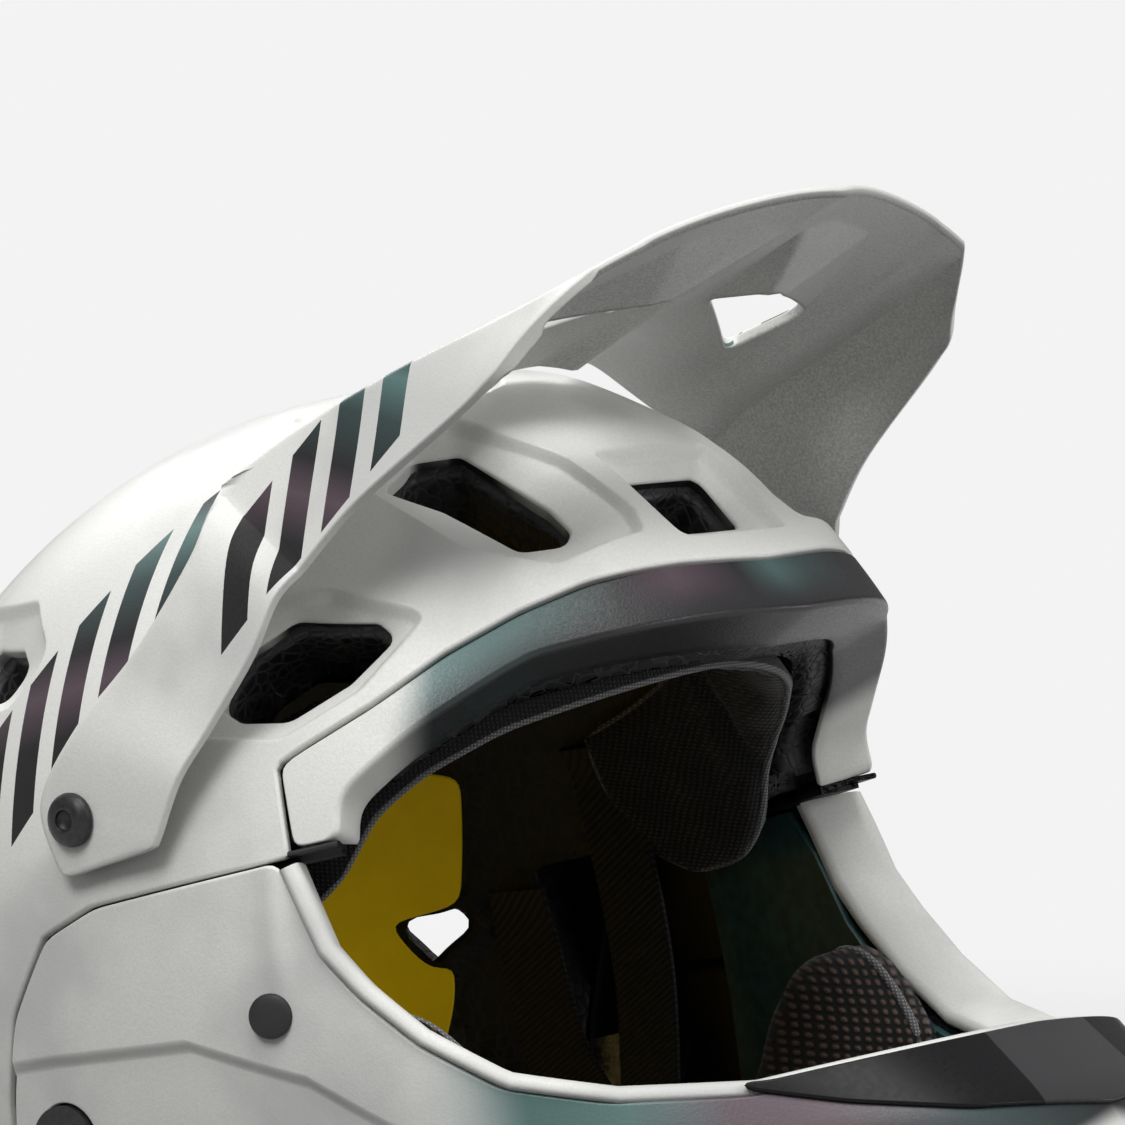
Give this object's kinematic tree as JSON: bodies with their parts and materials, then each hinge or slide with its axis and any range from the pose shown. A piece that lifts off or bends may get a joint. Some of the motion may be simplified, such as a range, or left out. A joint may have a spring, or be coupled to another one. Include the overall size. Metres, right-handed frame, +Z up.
{
  "type": "full-face trail helmet",
  "caption": "Full-face sport helmet with a tilting peak and a chin bar that releases forwards, padded and vented, with a fit dial at the nape.",
  "frame": {"origin": "middle of the footprint on the floor that the helmet stands on", "axes": "+Z up, -Y the way the wearer looks, +X the wearer's left"},
  "size_m": [0.2412, 0.3411, 0.2655],
  "materials": {
    "pearl_white": "satin pearl lacquer with a faint grey smoke",
    "shifting_trim": "lacquer that shifts from white through teal and violet to black",
    "foam_black": "moulded bead foam, dull",
    "slip_yellow": "smooth thin sheet, semi-gloss",
    "pad_fabric": "knitted and mesh cloth over soft foam",
    "webbing_black": "flat woven webbing",
    "black_rubber": "matt",
    "gloss_black": "high gloss",
    "black_plastic": "fine moulded grain",
    "steel": "plain",
    "dark_metal": "satin dark grey"
  },
  "bodies": {
    "helmet": {"outer_shell": "pearl_white", "brow_trim": "shifting_trim", "neck_trim": "black_rubber", "foam_liner": "foam_black", "slip_liner": "slip_yellow", "crown_pad": "pad_fabric", "brow_pad": "pad_fabric", "gasket_right": "black_rubber", "gasket_left": "black_rubber", "peak_screw_right": "dark_metal", "peak_screw_left": "dark_metal", "peak_insert_right": "steel", "peak_insert_left": "steel", "peak_washer_right": "black_rubber", "peak_washer_left": "black_rubber", "latch_catch_right": "steel", "latch_catch_left": "steel", "strap_right": "webbing_black", "strap_left": "webbing_black", "strap_divider_right": "black_plastic", "strap_divider_left": "black_plastic", "buckle_socket": "black_plastic", "buckle_tongue": "black_plastic", "chin_strap_pad": "pad_fabric", "fit_guide": "black_plastic"},
    "peak": {"peak": "pearl_white"},
    "chin_bar": {"chin_bar_shell": "pearl_white", "chin_rim_trim": "pearl_white", "chin_bar_foam": "foam_black", "chin_bar_lining": "black_plastic", "chin_front_trim": "gloss_black", "chin_vent_grille": "black_plastic", "chin_pad": "pad_fabric", "plug_right": "black_rubber", "plug_left": "black_rubber", "cheek_pad_right": "pad_fabric", "cheek_pad_left": "pad_fabric", "button_spring_right": "steel", "button_spring_left": "steel", "latch_hook_right": "steel", "latch_hook_left": "steel"},
    "button_right": {"release_button_right": "dark_metal"},
    "button_left": {"release_button_left": "dark_metal"},
    "cradle": {"rear_cradle": "black_plastic"},
    "dial": {"fit_dial": "black_plastic"}
  },
  "joints": [
    {"name": "peak_tilt", "type": "hinge", "parent": "helmet", "child": "peak", "pos_m": [0, 0.03659, 0.12305], "axis": [1, 0, 0], "range_deg": [-14, 6]},
    {"name": "chin_bar_release", "type": "slide", "parent": "helmet", "child": "chin_bar", "axis": [0, -0.9659, 0.2588], "range_m": [0, 0.13]},
    {"name": "button_press_right", "type": "slide", "parent": "chin_bar", "child": "button_right", "axis": [1, 0, 0], "range_m": [0, 0.003], "stiffness_N_per_m": 500, "springref_m": -0.002},
    {"name": "button_press_left", "type": "slide", "parent": "chin_bar", "child": "button_left", "axis": [-1, 0, 0], "range_m": [0, 0.003], "stiffness_N_per_m": 500, "springref_m": -0.002},
    {"name": "cradle_height", "type": "slide", "parent": "helmet", "child": "cradle", "axis": [0, 0.2588, 0.9659], "range_m": [-0.003, 0.008]},
    {"name": "dial_turn", "type": "hinge", "parent": "cradle", "child": "dial", "pos_m": [0, 0.12375, 0.01946], "axis": [0, 0.9659, -0.2588], "continuous": true}
  ]
}
